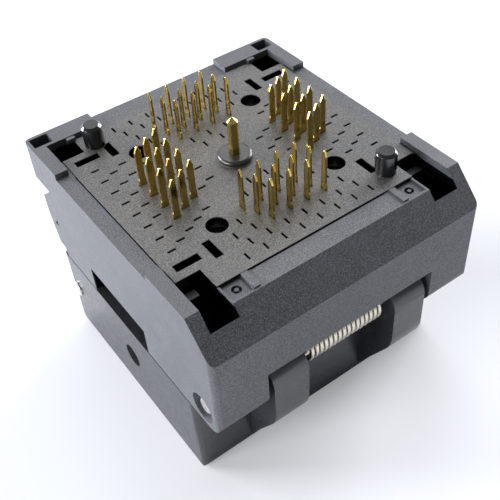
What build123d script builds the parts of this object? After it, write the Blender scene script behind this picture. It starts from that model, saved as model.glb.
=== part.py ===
from build123d import *
import os
from math import cos, radians, sin

# A hinged-lid test socket for a square leadless device, as it lies on its lid with its tails up.
# X runs along the hinge, Y from the hinge side to the latch side, Z up out of the solder tails.
# While it is built, X and Y start at the centre of the contact field and Z at the lid's outer face.
# At the end everything moves along Y, so that the origin lies under the middle of the outline.

# Body outline
BODY_WIDTH = 22.8
BODY_LENGTH = 24.95
FIELD_OFFSET = 0.875
LID_DEPTH = 8.15
SPLIT_GAP = 0.15
BASE_DEPTH = 9.8
CORNER_RADIUS = 0.45
MOVING_GAP = 0.15

# Device and contact field
DEVICE_SIZE = 7.0
DEVICE_GAP = 0.05
DEVICE_PITCH = 0.5
CONTACTS_PER_SIDE = 12
FIRST_ROW = 2.75
ROW_PITCH = 1.0
FIRST_CONTACT_ROW = 2
ROWS_IN_CYCLE = 3
FIELD_HALF_WIDTH = 5.5
ROW_END_MARGIN = 1.3
PLATE_EDGE_MARGIN = 0.5
SLOT_LENGTH = 0.65
SLOT_WIDTH = 0.18

# Contacts, stamped from gold plated strip
CONTACT_THICKNESS = 0.15
ROOT_WIDTH = 0.60
ROOT_RISE = 0.42
SHOULDER_RISE = 0.15
TAIL_WIDTH = 0.50
TAIL_LENGTH = 3.3
TAIL_POINT_LENGTH = 0.5
TAIL_POINT_WIDTH = 0.1
BEAM_HEIGHT = 0.65
FINGER_WIDTH = 0.35
FINGER_ROOM = 0.35
TIP_INSIDE_DEVICE_EDGE = 0.2
TIP_BELOW_BLOCK = 0.5

# Contact plate and contact block
PLATE_SIDE_WALL = 1.3
PLATE_NEAR_WALL = 3.68
PLATE_FAR_WALL = 1.96
PLATE_THICKNESS = 1.2
PLATE_GAP = 0.05
PLATE_CORNER_GAP = 0.01
PLATE_RELIEF_GAP = 0.08
PLATE_RELIEF_REACH = 5.7
ROUND_HOLE_PLACE = 5.1
ROUND_HOLE_RADIUS = 0.8
COLLAR_RADIUS = 1.3
COLLAR_RISE = 0.5
COLLAR_LIP = 0.12
PEG_FROM_PLATE_SIDE = 2.9
PEG_FROM_PLATE_NEAR = 1.57
PEG_FROM_PLATE_FAR = 1.54
PEG_RADIUS = 0.775
PEG_RISE = 1.85
PEG_CHAMFER = 0.2
LONG_SLOT_LENGTH = 1.95
LONG_SLOT_WIDTH = 0.65
LONG_SLOT_FROM_PLATE_SIDE = 1.55
SHORT_SLOT_LENGTH = 1.75
CORNER_SLOT_SPACING = 1.95
CORNER_SLOTS_FROM_NEAR = 2.89
CORNER_SLOTS_FROM_FAR = 2.86
BLOCK_SIDE_WALL = 0.6
BLOCK_END_WALL = 0.75
BLOCK_BELOW_FLOOR = 0.15
BLOCK_FOOT_STEP = 0.45
BLOCK_FOOT_HEIGHT = 0.5
BLOCK_GAP = 0.05

# Ground probe
PROBE_BARREL_RADIUS = 0.56
PROBE_TAIL_RADIUS = 0.4
PROBE_RISE = 3.55
PROBE_POINT_RADIUS = 0.05
PROBE_BORE = 0.24
PLUNGER_RADIUS = 0.19
PROBE_FIT = 0.02
PROBE_SPRING_LENGTH = 2.4
PROBE_SPRING_WIRE = 0.05
PROBE_SPRING_TURNS = 12

# Base housing
RIM_DROP = 0.12
PAD_RISE = 0.35
CHAMFER_DEPTH = 2.1
HINGE_OPENING_SIDE_WALL = 4.05
HINGE_OPENING_HEIGHT = 3.8
EAR_RADIUS = 1.5
HINGE_WALL = 1.0
CAVITY_SIDE_WALL = 2.8
CAVITY_FAR_WALL = 0.85
CAVITY_DEPTH = 4.6
WINDOW_LENGTH = 8.0
WINDOW_HEIGHT = 2.4
FLANGE_THICKNESS = 2.9
NECK_INSET = 2.55
CATCH_TIP = 0.7
CATCH_HEIGHT = 3.1
CATCH_LAND = 0.3
CATCH_RAMP = 0.95
PAD_BAR_WIDTH = 1.75
PAD_LENGTH_X = 5.45
NEAR_PAD_LENGTH_Y = 7.05
FAR_PAD_LENGTH_Y = 5.3
POCKET_WIDTH = 2.1
POCKET_SIDE_WALL = 1.05
POCKET_NEAR_WALL = 1.35
NEAR_POCKET_LENGTH = 4.2
FAR_POCKET_LENGTH = 2.05
FAR_POCKET_DEPTH = 2.4
NEAR_POCKET_FLOOR = 1.0
BAR_POCKET_LENGTH = 1.5
BAR_POCKET_WIDTH = 1.2
BAR_POCKET_DEPTH = 1.0
HOOK_WIDTH = 0.5
HOOK_REACH = 0.15
HOOK_HEIGHT = 0.25
NEAR_POST_WIDTH = 1.35
NEAR_POST_THICKNESS = 0.65
NEAR_POST_FROM_END = 0.25
NEAR_POST_DROP = 1.0
GATE_FROM_SIDE = 4.1
GATE_FROM_REAR = 2.95
GATE_SIZE = 1.6
GATE_DEPTH = 0.2
GATE_MARK_RADIUS = 0.35
GATE_MARK_DEPTH = 0.3
GATE_NUB_RADIUS = 0.15
SMALL_WALL_WIDTH = 0.5

# Hinge
HINGE_FROM_REAR = 1.95
HINGE_ABOVE_SPLIT = 1.55
HINGE_PIN_RADIUS = 0.65
HINGE_PIN_RECESS = 0.17
PIN_COUNTERBORE_RADIUS = 1.18
PIN_COUNTERBORE_DEPTH = 0.5
PRESS_GAP = 0.01
RUNNING_GAP = 0.03
ARM_SIDE_GAP = 0.45
ARM_WIDTH = 2.95
ARM_FACE_DROP = 3.65
ARM_FOOT_Z = 0.6
ARM_KNEE_RADIUS = 3.5
ARM_ROOT_MARGIN = 0.5
ARM_NECK_MARGIN = 0.25
SPRING_WIRE = 0.34
SPRING_PITCH = 0.415
SPRING_END_ROOM = 0.6
SPRING_RADIUS = 1.04
SPRING_END_ANGLE = 25
SPRING_TANG = 0.7
SPRING_LEG_SEAT = 0.9
SPRING_BEND = 0.505

# Nest, its guide pins and springs
NEST_THICKNESS = 2.8
NEST_BELOW_SPLIT = 0.7
LEDGE_THICKNESS = 0.6
LEDGE_SIZE = 0.6
CONTACT_WINDOW_INSET = 0.05
CONTACT_WINDOW_BEYOND_TIP = 1.0
NEST_LEAD_IN = 0.8
NEST_PIN_RADIUS = 0.6
NEST_PIN_HEAD_RADIUS = 1.0
NEST_PIN_HEAD = 0.4
NEST_PIN_BELOW_PLATE = 0.1
NEST_HOLE_GAP = 0.08
NEST_SPRING_WIRE = 0.2
NEST_SPRING_TURNS = 4
NEST_SPRING_POCKET = 0.6

# Lid
LID_REAR_SETBACK = 3.45
LID_FRONT_SETBACK = 1.85
LID_REAR_RADIUS = 0.4
LID_FRONT_RADIUS = 1.6
LID_SIDE_RADIUS = 0.35
LID_FLOOR = 1.8
LID_CAVITY_SIDE_WALL = 4.2
LID_CAVITY_REAR_WALL = 3.3
LID_CAVITY_FRONT_WALL = 0.7
LEVER_POCKET_SIDE_WALL = 1.9
LEVER_POCKET_FROM_PIN = 1.75
LEVER_POCKET_FLOOR = 0.9

# Pressure pad, its cross pin and springs
PAD_SIDE_GAP = 0.2
PAD_BOTTOM = 2.7
PAD_SET_BACK = 0.45
PAD_TRAVEL = 0.6
NOSE_INSIDE_DEVICE_EDGE = 0.7
NOSE_TOP_BELOW_LEDGE = 0.1
CROSS_PIN_Y = -0.5
CROSS_PIN_Z = 4.4
CROSS_PIN_RADIUS = 1.0
CROSS_PIN_RECESS = 1.0
PAD_SPRING_FROM_SIDE = 2.3
PAD_SPRING_FROM_REAR = 2.4
PAD_SPRING_FROM_FRONT = 2.1
PAD_SPRING_RADIUS = 0.85
PAD_SPRING_WIRE = 0.25
PAD_SPRING_TURNS = 6
PAD_SPRING_POCKET = 2.9
PAD_SPRING_SEAT = 0.8

# Latch
LATCH_PIN_FROM_FRONT = 1.0
LATCH_PIN_Z = 4.4
LATCH_PIN_RADIUS = 0.7
LATCH_PIN_PROUD = 0.2
PIN_DOME = 0.15
LEVER_BAR_SIDE_GAP = 0.2
LEVER_SHANK_SIDE_GAP = 0.2
LEVER_INNER_GAP = 0.15
LEVER_THICKNESS = 1.4
LEVER_TAPER = 0.7
HOOK_LIP_PLAY = 0.1
HOOK_BELOW_FLANGE = 1.0
HOOK_CROWN = 1.0
LEVER_BAR_CLEARANCE = 0.3
SHANK_INNER_FROM_PIN = 0.95
SHANK_OUTER_FROM_PIN = 1.65
SHANK_FOOT_Z = 1.2
GRIP_RIBS = 3
GRIP_RIB_PITCH = 0.7
GRIP_RIB_RADIUS = 0.2
GRIP_RIB_END_INSET = 2.8
LATCH_SPRING_FROM_SHANK_END = 0.95
LATCH_SPRING_Z = 2.6
LATCH_SPRING_RADIUS = 0.55
LATCH_SPRING_WIRE = 0.2
LATCH_SPRING_TURNS = 6
LATCH_SPRING_HOLE_DEPTH = 2.4
LATCH_SPRING_SEAT = 0.3

# Levels and lines that follow from the sizes above
SPLIT_Z = LID_DEPTH + SPLIT_GAP
FACE_Z = SPLIT_Z + BASE_DEPTH
SHOULDER_Z = FACE_Z + COLLAR_RISE - COLLAR_LIP
RIM_Z = FACE_Z - RIM_DROP
PAD_Z = FACE_Z + PAD_RISE
PLATE_LOW_Z = FACE_Z - PLATE_THICKNESS
FLOOR_LOW_Z = SPLIT_Z + CAVITY_DEPTH
BLOCK_LOW_Z = FLOOR_LOW_Z - BLOCK_BELOW_FLOOR
TIP_Z = BLOCK_LOW_Z - TIP_BELOW_BLOCK
REAR_Y = -BODY_LENGTH / 2 - FIELD_OFFSET
FAR_Y = BODY_LENGTH / 2 - FIELD_OFFSET
SIDE_X = BODY_WIDTH / 2
PLATE_HALF_X = SIDE_X - PLATE_SIDE_WALL
PLATE_NEAR = -REAR_Y - PLATE_NEAR_WALL
PLATE_FAR = FAR_Y - PLATE_FAR_WALL
PEG_PLACES = [
    (PEG_FROM_PLATE_SIDE - PLATE_HALF_X, PLATE_FAR - PEG_FROM_PLATE_FAR),
    (PLATE_HALF_X - PEG_FROM_PLATE_SIDE, PEG_FROM_PLATE_NEAR - PLATE_NEAR),
]
LONG_SLOT_X = PLATE_HALF_X - LONG_SLOT_FROM_PLATE_SIDE
SHORT_SLOT_X = LONG_SLOT_X - CORNER_SLOT_SPACING
SLOT_ROWS = int((min(PLATE_HALF_X, PLATE_NEAR, PLATE_FAR) - PLATE_EDGE_MARGIN - FIRST_ROW) / ROW_PITCH) + 1
LAST_CONTACT_ROW = FIRST_ROW + (FIRST_CONTACT_ROW + ROWS_IN_CYCLE - 1) * ROW_PITCH
CONTACTS_HALF_WIDTH = CONTACTS_PER_SIDE * DEVICE_PITCH / 2
TIP_DISTANCE = DEVICE_SIZE / 2 - TIP_INSIDE_DEVICE_EDGE
BLOCK_ARM_HALF_WIDTH = CONTACTS_HALF_WIDTH + BLOCK_SIDE_WALL
BLOCK_REACH = LAST_CONTACT_ROW + BLOCK_END_WALL
POCKET_OUT = SIDE_X - POCKET_SIDE_WALL
POCKET_IN = POCKET_OUT - POCKET_WIDTH
NEAR_POCKET_START = REAR_Y + POCKET_NEAR_WALL
NEAR_POCKET_END = NEAR_POCKET_START + NEAR_POCKET_LENGTH
NEAR_POCKET_LOW_Z = FLOOR_LOW_Z + NEAR_POCKET_FLOOR
FAR_POCKET_END = FAR_Y - PAD_BAR_WIDTH
FAR_POCKET_START = FAR_POCKET_END - FAR_POCKET_LENGTH
GATE_X = SIDE_X - GATE_FROM_SIDE
GATE_Y = REAR_Y + GATE_FROM_REAR
HINGE_Y = REAR_Y + HINGE_FROM_REAR
HINGE_Z = SPLIT_Z + HINGE_ABOVE_SPLIT
KNUCKLE_RADIUS = HINGE_FROM_REAR
HINGE_OPENING_Y = HINGE_Y + KNUCKLE_RADIUS + ARM_NECK_MARGIN
HINGE_OPENING_HALF_WIDTH = SIDE_X - HINGE_OPENING_SIDE_WALL
ARM_OUTER_X = HINGE_OPENING_HALF_WIDTH - ARM_SIDE_GAP
ARM_INNER_X = ARM_OUTER_X - ARM_WIDTH
CAVITY_NEAR = -HINGE_OPENING_Y - HINGE_WALL
LID_REAR_Y = REAR_Y + LID_REAR_SETBACK
LID_FRONT_Y = FAR_Y - LID_FRONT_SETBACK
LATCH_PIN_Y = LID_FRONT_Y - LATCH_PIN_FROM_FRONT
LEVER_POCKET_Y = LATCH_PIN_Y - LEVER_POCKET_FROM_PIN
LEVER_POCKET_HALF_X = SIDE_X - LEVER_POCKET_SIDE_WALL
LEVER_BAR_HALF_X = SIDE_X - LEVER_BAR_SIDE_GAP
LEVER_SHANK_HALF_X = LEVER_POCKET_HALF_X - LEVER_SHANK_SIDE_GAP
LATCH_SPRING_X = LEVER_SHANK_HALF_X - LATCH_SPRING_FROM_SHANK_END
GRIP_RIB_HALF_X = LEVER_SHANK_HALF_X - GRIP_RIB_END_INSET
LID_CAVITY_HALF_X = SIDE_X - LID_CAVITY_SIDE_WALL
LID_CAVITY_NEAR = -LID_REAR_Y - LID_CAVITY_REAR_WALL
LID_CAVITY_FAR = LEVER_POCKET_Y - LID_CAVITY_FRONT_WALL
NEST_LOW_Z = SPLIT_Z + NEST_BELOW_SPLIT
NEST_HIGH_Z = NEST_LOW_Z + NEST_THICKNESS
NECK_Y = FAR_Y - NECK_INSET
CAVITY_HALF_X = SIDE_X - CAVITY_SIDE_WALL
CAVITY_FAR = NECK_Y - CAVITY_FAR_WALL
CATCH_TIP_Y = NECK_Y + CATCH_TIP
CATCH_TOP_Z = SPLIT_Z + CATCH_HEIGHT
LEVER_INNER_Y = CATCH_TIP_Y + LEVER_INNER_GAP
LEVER_BAR_Z = LID_DEPTH + LEVER_BAR_CLEARANCE
PAD_TOP = LID_DEPTH - PAD_SET_BACK
NOSE_HALF = DEVICE_SIZE / 2 - NOSE_INSIDE_DEVICE_EDGE
NOSE_TOP_Z = NEST_HIGH_Z - LEDGE_THICKNESS - NOSE_TOP_BELOW_LEDGE
LATCH_SPRING_START_Y = LEVER_POCKET_Y - LATCH_SPRING_HOLE_DEPTH
SHANK_INNER_Y = LATCH_PIN_Y - SHANK_INNER_FROM_PIN
SPRING_TURNS = int(2 * (ARM_INNER_X - SPRING_END_ROOM) / SPRING_PITCH)
SPRING_COIL_LENGTH = SPRING_TURNS * SPRING_PITCH
SPRING_END_RISE = SPRING_RADIUS * sin(radians(SPRING_END_ANGLE))
SPRING_LEG_RISE = HINGE_OPENING_HEIGHT - HINGE_ABOVE_SPLIT + SPRING_LEG_SEAT - SPRING_END_RISE
SPRING_LEG_LENGTH = SPRING_LEG_RISE / cos(radians(SPRING_END_ANGLE))
SPRING_LEG_LINE = Pos(SPRING_RADIUS, 0, 0) * Rot(90, 0, 0)
STANDING = (Align.CENTER, Align.CENTER, Align.MIN)
PLACE = Pos(0, FIELD_OFFSET, 0)
BIG = 2 * (BODY_LENGTH + FACE_Z)


def block(x0, x1, y0, y1, z0, z1):
    """Box between two corners."""
    size = Box(x1 - x0, y1 - y0, z1 - z0, align=(Align.MIN, Align.MIN, Align.MIN))
    return Pos(x0, y0, z0) * size


def rod_z(x, y, z0, z1, radius):
    """Round rod standing on z0."""
    return Pos(x, y, z0) * Cylinder(radius, z1 - z0, align=STANDING)


def rod_x(y, z, x0, x1, radius):
    """Round rod lying along X."""
    rod = Cylinder(radius, x1 - x0, align=STANDING)
    return Pos(x0, y, z) * Rot(0, 90, 0) * rod


def rod_y(x, z, y0, y1, radius):
    """Round rod lying along Y."""
    rod = Cylinder(radius, y1 - y0, align=STANDING)
    return Pos(x, y0, z) * Rot(-90, 0, 0) * rod


def prism_x(points, x0, x1, radii=0):
    """Side profile in Y and Z, drawn out along X, with a rounding for each corner."""
    corners = [(x0, y, z) for y, z in points]
    if radii == 0:
        outline = Polyline(*corners, close=True)
    else:
        outline = FilletPolyline(*corners, radius=radii, close=True)
    return extrude(make_face(outline), amount=x1 - x0, dir=(1, 0, 0))


def both_sides(shape):
    """The piece and its mirror image in X."""
    return shape + mirror(shape, about=Plane.YZ)


def coil(radius, wire, turns, length):
    """Round wire spring along +Z, its wire inside the two end planes."""
    rise = length - wire
    path = Helix(pitch=rise / turns, height=rise, radius=radius)
    section = Plane(origin=path @ 0, z_dir=path % 0) * Circle(wire / 2)
    return Pos(0, 0, wire / 2) * sweep(section, path=path)


def spring_frame(x):
    """Frame of the hinge spring: its Z runs along the pin, its X out through both wire ends."""
    angle = radians(SPRING_END_ANGLE)
    return Plane(origin=(x, HINGE_Y, HINGE_Z), x_dir=(0, -cos(angle), sin(angle)), z_dir=(1, 0, 0))


def pad_spring_places():
    """Where the four pad springs stand in the lid."""
    x = LID_CAVITY_HALF_X - PAD_SPRING_FROM_SIDE
    return corner_places(x, LID_CAVITY_NEAR - PAD_SPRING_FROM_REAR, LID_CAVITY_FAR - PAD_SPRING_FROM_FRONT)


def spring_set(shape, places):
    """Copies of one spring, each a separate solid."""
    return Compound([place * shape for place in places])


def corner_places(x, near, far):
    """Four points at plus and minus x, two at the near and two at the far distance in Y."""
    return [(side * x, y) for side in (-1, 1) for y in (-near, far)]


def row_distance(row):
    """Distance of a slot row from the centre of the field."""
    return FIRST_ROW + row * ROW_PITCH


def column_place(column):
    """Place of one contact column along its side."""
    return (column + 0.5) * DEVICE_PITCH


def slot_places():
    """Tail slots on one side of the field, in a three row stagger."""
    places = []
    for row in range(SLOT_ROWS):
        distance = row_distance(row)
        limit = min(distance - ROW_END_MARGIN, FIELD_HALF_WIDTH)
        reach = int(limit / DEVICE_PITCH) + 1
        for column in range(-reach, reach):
            in_turn = (row + 1) % ROWS_IN_CYCLE == column % ROWS_IN_CYCLE
            if in_turn and abs(column_place(column)) < limit:
                places.append((distance, column_place(column)))
    return places


def contact_places():
    """Row distance and column of the twelve contacts on one side."""
    places = []
    half = CONTACTS_PER_SIDE // 2
    for column in range(-half, half):
        step = (column - FIRST_CONTACT_ROW - 1) % ROWS_IN_CYCLE
        distance = row_distance(FIRST_CONTACT_ROW + step)
        places.append((distance, column_place(column)))
    return places


def plus_outline(reach, half_width, z0, z1):
    """Plus shaped block that leaves the four corners free."""
    along_x = block(-reach, reach, -half_width, half_width, z0, z1)
    along_y = block(-half_width, half_width, -reach, reach, z0, z1)
    return along_x + along_y


def contact(distance, place):
    """One contact: pointed tail, root with a shoulder, beam, and a sprung finger."""
    outer = distance + ROOT_WIDTH / 2
    inner = distance - ROOT_WIDTH / 2
    tail_outer = distance + TAIL_WIDTH / 2
    tail_inner = distance - TAIL_WIDTH / 2
    root_top = FACE_Z + ROOT_RISE
    shoulder_top = root_top + SHOULDER_RISE
    tail_top = FACE_Z + TAIL_LENGTH
    point_base = tail_top - TAIL_POINT_LENGTH
    beam_top = PLATE_LOW_Z - BLOCK_GAP
    beam_low = beam_top - BEAM_HEIGHT
    tip = TIP_DISTANCE
    bend_z = (beam_low + TIP_Z) / 2
    points = [
        (outer, beam_low),
        (outer, root_top),
        (tail_outer, shoulder_top),
        (tail_outer, point_base),
        (distance + TAIL_POINT_WIDTH / 2, tail_top),
        (distance - TAIL_POINT_WIDTH / 2, tail_top),
        (tail_inner, point_base),
        (tail_inner, shoulder_top),
        (inner, root_top),
        (inner, beam_top),
        (tip + FINGER_WIDTH, beam_top),
        (tip, beam_top - FINGER_WIDTH),
        (tip, beam_low - FINGER_WIDTH),
        (tip + FINGER_WIDTH, bend_z),
        (tip - FINGER_WIDTH / 2, TIP_Z + FINGER_WIDTH),
        (tip, TIP_Z),
        (tip + FINGER_WIDTH, TIP_Z + FINGER_WIDTH),
        (tip + 2 * FINGER_WIDTH, bend_z),
        (tip + FINGER_WIDTH, beam_low - FINGER_WIDTH),
        (tip + FINGER_WIDTH, beam_low),
    ]
    start = place - CONTACT_THICKNESS / 2
    outline = Polyline(*[(u, start, z) for u, z in points], close=True)
    return extrude(make_face(outline), amount=CONTACT_THICKNESS, dir=(0, 1, 0))


def contact_side(quarter_turns):
    """Twelve contacts of one side, each a separate solid."""
    turn = Rot(0, 0, 90 * quarter_turns)
    return Compound([turn * contact(distance, place) for distance, place in contact_places()])


def contact_block():
    """Plus shaped block whose slots hold the contacts at the device pitch."""
    foot_top = BLOCK_LOW_Z + BLOCK_FOOT_HEIGHT
    body = plus_outline(BLOCK_REACH, BLOCK_ARM_HALF_WIDTH, foot_top, PLATE_LOW_Z)
    foot_reach = BLOCK_REACH - BLOCK_FOOT_STEP
    foot_half = BLOCK_ARM_HALF_WIDTH - BLOCK_FOOT_STEP
    body += plus_outline(foot_reach, foot_half, BLOCK_LOW_Z, foot_top)
    slot_half = SLOT_WIDTH / 2
    finger_start = TIP_DISTANCE - FINGER_WIDTH / 2 - FINGER_ROOM
    finger_end = TIP_DISTANCE + 2 * FINGER_WIDTH + FINGER_ROOM
    beam_seat = PLATE_LOW_Z - BLOCK_GAP - BEAM_HEIGHT
    cuts = []
    for distance, place in contact_places():
        low = place - slot_half
        high = place + slot_half
        beam_end = distance + SLOT_LENGTH / 2
        cuts.append(block(finger_start, beam_end, low, high, beam_seat, PLATE_LOW_Z))
        cuts.append(block(finger_start, finger_end, low, high, BLOCK_LOW_Z, PLATE_LOW_Z))
    for quarter in range(4):
        turn = Rot(0, 0, 90 * quarter)
        body -= [turn * cut for cut in cuts]
    body -= rod_z(0, 0, BLOCK_LOW_Z, PLATE_LOW_Z, PROBE_BARREL_RADIUS + PROBE_FIT)
    return body


def contact_plate():
    """Bottom plate: tail slots, round holes, collar, locating pegs."""
    plate = block(-PLATE_HALF_X, PLATE_HALF_X, -PLATE_NEAR, PLATE_FAR, PLATE_LOW_Z, FACE_Z)
    near_notch = block(POCKET_IN, PLATE_HALF_X, -PLATE_NEAR, NEAR_POCKET_END, PLATE_LOW_Z, FACE_Z)
    far_notch = block(POCKET_IN, PLATE_HALF_X, FAR_POCKET_START, PLATE_FAR, PLATE_LOW_Z, FACE_Z)
    plate -= both_sides(near_notch) + both_sides(far_notch)
    slots = []
    for distance, place in slot_places():
        near = distance - SLOT_LENGTH / 2
        low = place - SLOT_WIDTH / 2
        slots.append(block(near, near + SLOT_LENGTH, low, low + SLOT_WIDTH, PLATE_LOW_Z, FACE_Z))
    for quarter in range(4):
        plate -= [Rot(0, 0, 90 * quarter) * slot for slot in slots]
    half_wide = LONG_SLOT_WIDTH / 2
    slots_near = PLATE_NEAR - CORNER_SLOTS_FROM_NEAR
    slots_far = PLATE_FAR - CORNER_SLOTS_FROM_FAR
    for x, y in corner_places(LONG_SLOT_X, slots_near, slots_far):
        half = LONG_SLOT_LENGTH / 2
        plate -= block(x - half, x + half, y - half_wide, y + half_wide, PLATE_LOW_Z, FACE_Z)
    for x, y in corner_places(SHORT_SLOT_X, slots_near, slots_far):
        half = SHORT_SLOT_LENGTH / 2
        plate -= block(x - half_wide, x + half_wide, y - half, y + half, PLATE_LOW_Z, FACE_Z)
    for x, y in corner_places(ROUND_HOLE_PLACE, ROUND_HOLE_PLACE, ROUND_HOLE_PLACE):
        plate -= rod_z(x, y, PLATE_LOW_Z, FACE_Z, ROUND_HOLE_RADIUS)
    collar = rod_z(0, 0, FACE_Z - PLATE_GAP, FACE_Z + COLLAR_RISE, COLLAR_RADIUS)
    collar = fillet(collar.edges().group_by(Axis.Z)[-1], COLLAR_RISE / 2)
    plate += collar
    plate -= rod_z(0, 0, PLATE_LOW_Z, SHOULDER_Z, PROBE_BARREL_RADIUS + PROBE_FIT)
    plate -= rod_z(0, 0, SHOULDER_Z, FACE_Z + COLLAR_RISE, PROBE_TAIL_RADIUS + PROBE_FIT)
    for x, y in PEG_PLACES:
        peg = rod_z(x, y, FACE_Z - PLATE_GAP, FACE_Z + PEG_RISE, PEG_RADIUS)
        peg = chamfer(peg.edges().group_by(Axis.Z)[-1], PEG_CHAMFER)
        plate += peg
    return plate


def probe_barrel():
    """Hollow round ground pin: a barrel held by the collar's lip at its shoulder, and a pointed tail."""
    low = BLOCK_LOW_Z
    barrel = rod_z(0, 0, low, FACE_Z + PROBE_RISE, PROBE_TAIL_RADIUS)
    barrel = chamfer(barrel.edges().group_by(Axis.Z)[-1], PROBE_TAIL_RADIUS - PROBE_POINT_RADIUS)
    barrel += rod_z(0, 0, low, SHOULDER_Z, PROBE_BARREL_RADIUS)
    bore_low = low + BLOCK_FOOT_HEIGHT
    spring_low = bore_low + PROBE_SPRING_LENGTH
    bore_high = spring_low + PROBE_SPRING_LENGTH
    barrel -= rod_z(0, 0, bore_low, bore_high, PROBE_BORE)
    barrel -= rod_z(0, 0, low, bore_low, PLUNGER_RADIUS)
    return barrel


def probe_plunger():
    """Sprung tip that touches the ground pad under the device."""
    bore_low = BLOCK_LOW_Z + BLOCK_FOOT_HEIGHT
    neck = PLUNGER_RADIUS - PROBE_FIT
    tip = Pos(0, 0, TIP_Z) * Cone(PROBE_FIT, neck, neck, align=STANDING)
    stem = rod_z(0, 0, TIP_Z + neck, bore_low + PROBE_FIT, neck)
    head_top = bore_low + PROBE_SPRING_LENGTH - PROBE_FIT
    head = rod_z(0, 0, bore_low + PROBE_FIT, head_top, PROBE_BORE - PROBE_FIT)
    return tip + stem + head


def probe_spring():
    """Fine spring behind the probe tip."""
    low = BLOCK_LOW_Z + BLOCK_FOOT_HEIGHT + PROBE_SPRING_LENGTH
    wire = PROBE_SPRING_WIRE
    radius = PROBE_BORE - wire
    return Pos(0, 0, low) * coil(radius, wire, PROBE_SPRING_TURNS, PROBE_SPRING_LENGTH)


def base_side_profile():
    """Outline of the base seen along X: chamfer, flange, neck and catch."""
    points = [
        (REAR_Y, SPLIT_Z),
        (REAR_Y, FACE_Z - CHAMFER_DEPTH),
        (REAR_Y + CHAMFER_DEPTH + PAD_RISE, PAD_Z),
        (FAR_Y, PAD_Z),
        (FAR_Y, FACE_Z - FLANGE_THICKNESS),
        (NECK_Y, FACE_Z - FLANGE_THICKNESS),
        (NECK_Y, CATCH_TOP_Z),
        (CATCH_TIP_Y, CATCH_TOP_Z),
        (CATCH_TIP_Y, CATCH_TOP_Z - CATCH_LAND),
        (CATCH_TIP_Y - CATCH_RAMP, SPLIT_Z),
    ]
    radii = [EAR_RADIUS] + [0] * (len(points) - 1)
    return prism_x(points, -SIDE_X, SIDE_X, radii)


def plan_outline(y0, y1):
    """Plan view with rounded upright corners, tall enough for every piece."""
    plan = RectangleRounded(BODY_WIDTH, y1 - y0, CORNER_RADIUS)
    return Pos(0, (y0 + y1) / 2, 0) * extrude(plan, amount=BIG)


def base_rims():
    """What lies above the rims between the four corner pads."""
    pad_end = SIDE_X - PAD_LENGTH_X
    middle = block(-pad_end, pad_end, REAR_Y, FAR_Y, RIM_Z, PAD_Z)
    sides = block(-SIDE_X, SIDE_X, REAR_Y + NEAR_PAD_LENGTH_Y, FAR_Y - FAR_PAD_LENGTH_Y, RIM_Z, PAD_Z)
    field = block(-POCKET_OUT, POCKET_OUT, -PLATE_NEAR, FAR_POCKET_END, RIM_Z, PAD_Z)
    near = block(-POCKET_IN, POCKET_IN, REAR_Y, -PLATE_NEAR, RIM_Z, PAD_Z)
    return middle + sides + field + near


def base_near_corner():
    """Deep pocket that opens through the sloped edge at the hinge side, on the right."""
    return block(POCKET_IN, POCKET_OUT, NEAR_POCKET_START, NEAR_POCKET_END, NEAR_POCKET_LOW_Z, PAD_Z)


def base_far_corner():
    """Hook pocket and the recess in the stand-off bar at the latch side, on the right."""
    floor = FACE_Z - FAR_POCKET_DEPTH
    hook_pocket = block(POCKET_IN, POCKET_OUT, FAR_POCKET_START, FAR_POCKET_END, floor, PAD_Z)
    wall = (PAD_BAR_WIDTH - BAR_POCKET_WIDTH) / 2
    x1 = SIDE_X - wall
    y0 = FAR_POCKET_END + wall
    y1 = y0 + BAR_POCKET_WIDTH
    return hook_pocket + block(x1 - BAR_POCKET_LENGTH, x1, y0, y1, PAD_Z - BAR_POCKET_DEPTH, PAD_Z)


def base_far_hook():
    """Snap hook in the right far pocket, its head over the edge of the contact plate."""
    low = FACE_Z + PLATE_GAP
    top = low + HOOK_HEIGHT
    y1 = FAR_POCKET_END
    x1 = POCKET_IN + HOOK_WIDTH
    stem = block(POCKET_IN, x1, PLATE_FAR + PLATE_GAP, y1, FACE_Z - FAR_POCKET_DEPTH, top)
    head = block(POCKET_IN - HOOK_REACH, x1, PLATE_FAR - HOOK_REACH, y1, low, top)
    return stem + head


def base_near_post():
    """Post that stands in the right near pocket against its outer wall, a little below the rim."""
    x0 = POCKET_OUT - NEAR_POST_WIDTH
    y1 = NEAR_POCKET_END - NEAR_POST_FROM_END
    y0 = y1 - NEAR_POST_THICKNESS
    return block(x0, POCKET_OUT, y0, y1, NEAR_POCKET_LOW_Z, RIM_Z - NEAR_POST_DROP)


def plate_recess():
    """Seat of the contact plate: tight at its corners, open along the middle of each edge."""
    gap = PLATE_CORNER_GAP
    side = PLATE_HALF_X + gap
    seat = block(-side, side, -PLATE_NEAR - gap, PLATE_FAR + gap, PLATE_LOW_Z, PAD_Z)
    open_side = PLATE_HALF_X + PLATE_RELIEF_GAP
    open_near = -PLATE_NEAR - PLATE_RELIEF_GAP
    open_far = PLATE_FAR + PLATE_RELIEF_GAP
    reach = PLATE_RELIEF_REACH
    seat += block(-open_side, open_side, -reach, reach, PLATE_LOW_Z, PAD_Z)
    return seat + block(-reach, reach, open_near, open_far, PLATE_LOW_Z, PAD_Z)


def gate_recess():
    """Square recess in the right near rim, with the round mark of the moulding gate in its floor."""
    half = GATE_SIZE / 2
    floor = RIM_Z - GATE_DEPTH
    recess = block(GATE_X - half, GATE_X + half, GATE_Y - half, GATE_Y + half, floor, PAD_Z)
    return recess + rod_z(GATE_X, GATE_Y, floor - GATE_MARK_DEPTH, floor, GATE_MARK_RADIUS)


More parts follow.
